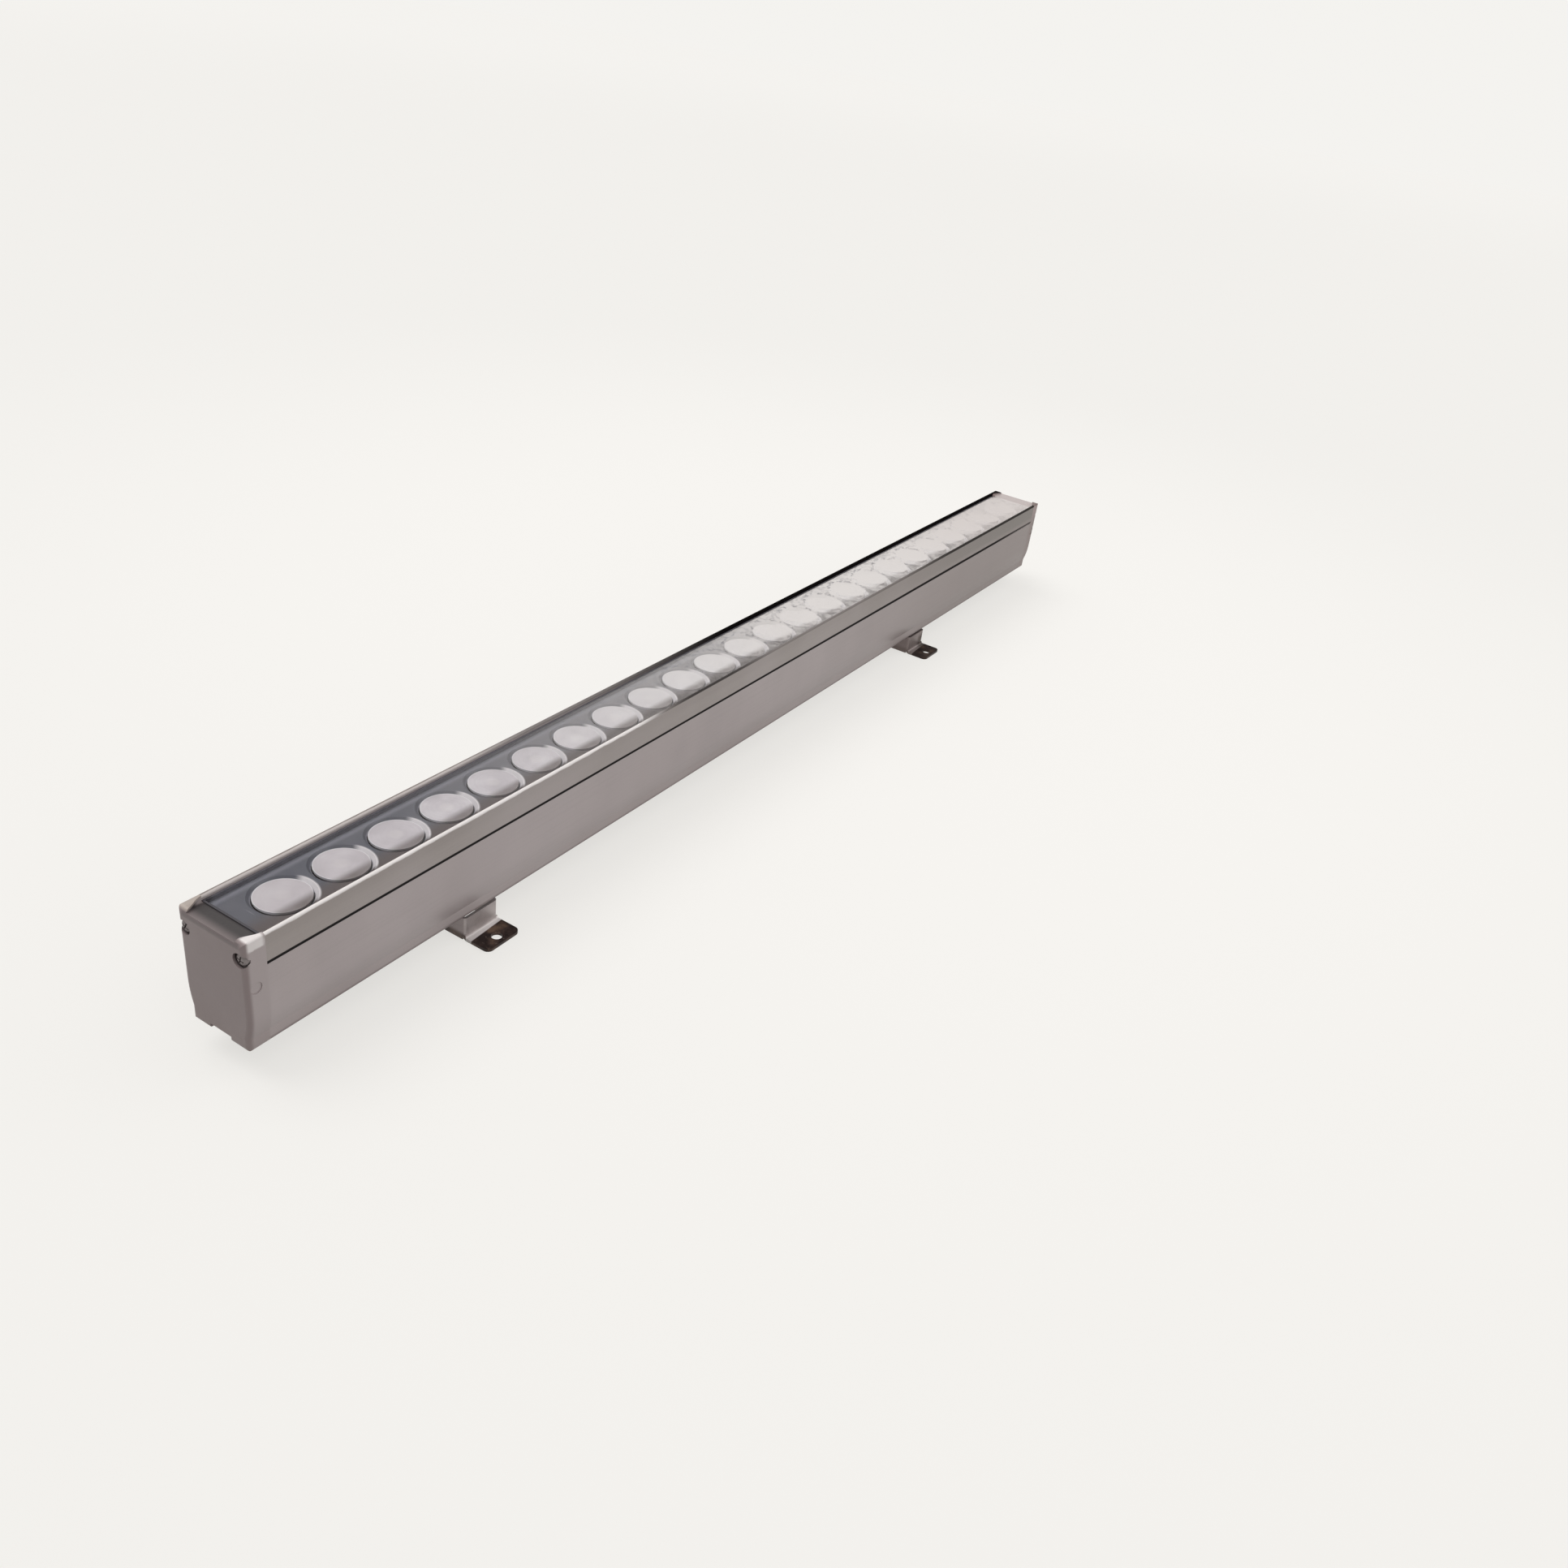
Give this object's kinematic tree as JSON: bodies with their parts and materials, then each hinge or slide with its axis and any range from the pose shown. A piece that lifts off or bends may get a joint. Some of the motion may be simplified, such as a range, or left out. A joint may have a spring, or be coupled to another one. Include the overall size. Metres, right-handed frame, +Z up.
{
  "type": "outdoor wall washer light",
  "caption": "Slim extruded light bar with a row of round lenses under a sunk glass cover, on two sliding, tilting sheet-metal feet.",
  "frame": {"origin": "bottom centre of the whole light at rest, cable gland included, on the surface that the feet stand on", "axes": "+X along the light toward the cable gland, -Y toward the front where the foot tabs point, +Z up, the way the light shines"},
  "size_m": [1.02, 0.0666, 0.0885],
  "materials": {
    "extrusion": "satin grey anodised",
    "casting": "satin grey paint on a casting",
    "foot_steel": "dark bent sheet",
    "fastener_steel": "plain",
    "cover_glass": "clear, toughened",
    "lens_acrylic": "frosted, clear acrylic",
    "plate_coat": "slate grey, satin",
    "holder_plastic": "white",
    "board_white": "white solder mask",
    "led_phosphor": "yellow phosphor under a clear dome",
    "driver_shell": "potting compound",
    "wire_sheath": "matt",
    "gland_plastic": "black nylon",
    "seal_rubber": "matt black silicone"
  },
  "bodies": {
    "lamp": {"housing": "extrusion", "rail_front": "extrusion", "rail_back": "extrusion", "seam_seals": "seal_rubber", "glass_cover": "cover_glass", "glass_seal": "seal_rubber", "lens_plate": "plate_coat", "lens_holders": "holder_plastic", "leds": "led_phosphor", "led_board_near": "board_white", "led_board_far": "board_white", "board_screws": "fastener_steel", "board_connector": "holder_plastic", "led_driver": "driver_shell", "led_lead": "wire_sheath", "cap_near": "casting", "cap_far": "casting", "gasket_near": "seal_rubber", "gasket_far": "seal_rubber", "cap_screws": "fastener_steel", "grub_screws": "fastener_steel", "gland_body": "gland_plastic", "gland_nut": "gland_plastic", "gland_seal": "seal_rubber", "lens_01": "lens_acrylic", "lens_02": "lens_acrylic", "lens_03": "lens_acrylic", "lens_04": "lens_acrylic", "lens_05": "lens_acrylic", "lens_06": "lens_acrylic", "lens_07": "lens_acrylic", "lens_08": "lens_acrylic", "lens_09": "lens_acrylic", "lens_10": "lens_acrylic", "lens_11": "lens_acrylic", "lens_12": "lens_acrylic", "lens_13": "lens_acrylic", "lens_14": "lens_acrylic", "lens_15": "lens_acrylic", "lens_16": "lens_acrylic", "lens_17": "lens_acrylic", "lens_18": "lens_acrylic", "lens_19": "lens_acrylic", "lens_20": "lens_acrylic", "lens_21": "lens_acrylic", "lens_22": "lens_acrylic", "lens_23": "lens_acrylic", "lens_24": "lens_acrylic"},
    "carriage_near": {"slot_nut_near": "fastener_steel", "slot_screw_near": "fastener_steel", "knuckle_near": "casting", "pivot_screws_near": "fastener_steel", "pivot_washers_near": "fastener_steel"},
    "foot_near": {"foot_near": "foot_steel"},
    "carriage_far": {"slot_nut_far": "fastener_steel", "slot_screw_far": "fastener_steel", "knuckle_far": "casting", "pivot_screws_far": "fastener_steel", "pivot_washers_far": "fastener_steel"},
    "foot_far": {"foot_far": "foot_steel"}
  },
  "joints": [
    {"name": "near_slide", "type": "slide", "parent": "lamp", "child": "carriage_near", "axis": [1, 0, 0], "range_m": [-0.12, 0.25]},
    {"name": "near_tilt", "type": "hinge", "parent": "carriage_near", "child": "foot_near", "pos_m": [-0.34, 0.00825, 0.0085], "axis": [1, 0, 0], "range_deg": [0, 40]},
    {"name": "far_slide", "type": "slide", "parent": "lamp", "child": "carriage_far", "axis": [1, 0, 0], "range_m": [-0.2, 0.18]},
    {"name": "far_tilt", "type": "hinge", "parent": "carriage_far", "child": "foot_far", "pos_m": [0.242, 0.00825, 0.0085], "axis": [1, 0, 0], "range_deg": [0, 40]}
  ]
}
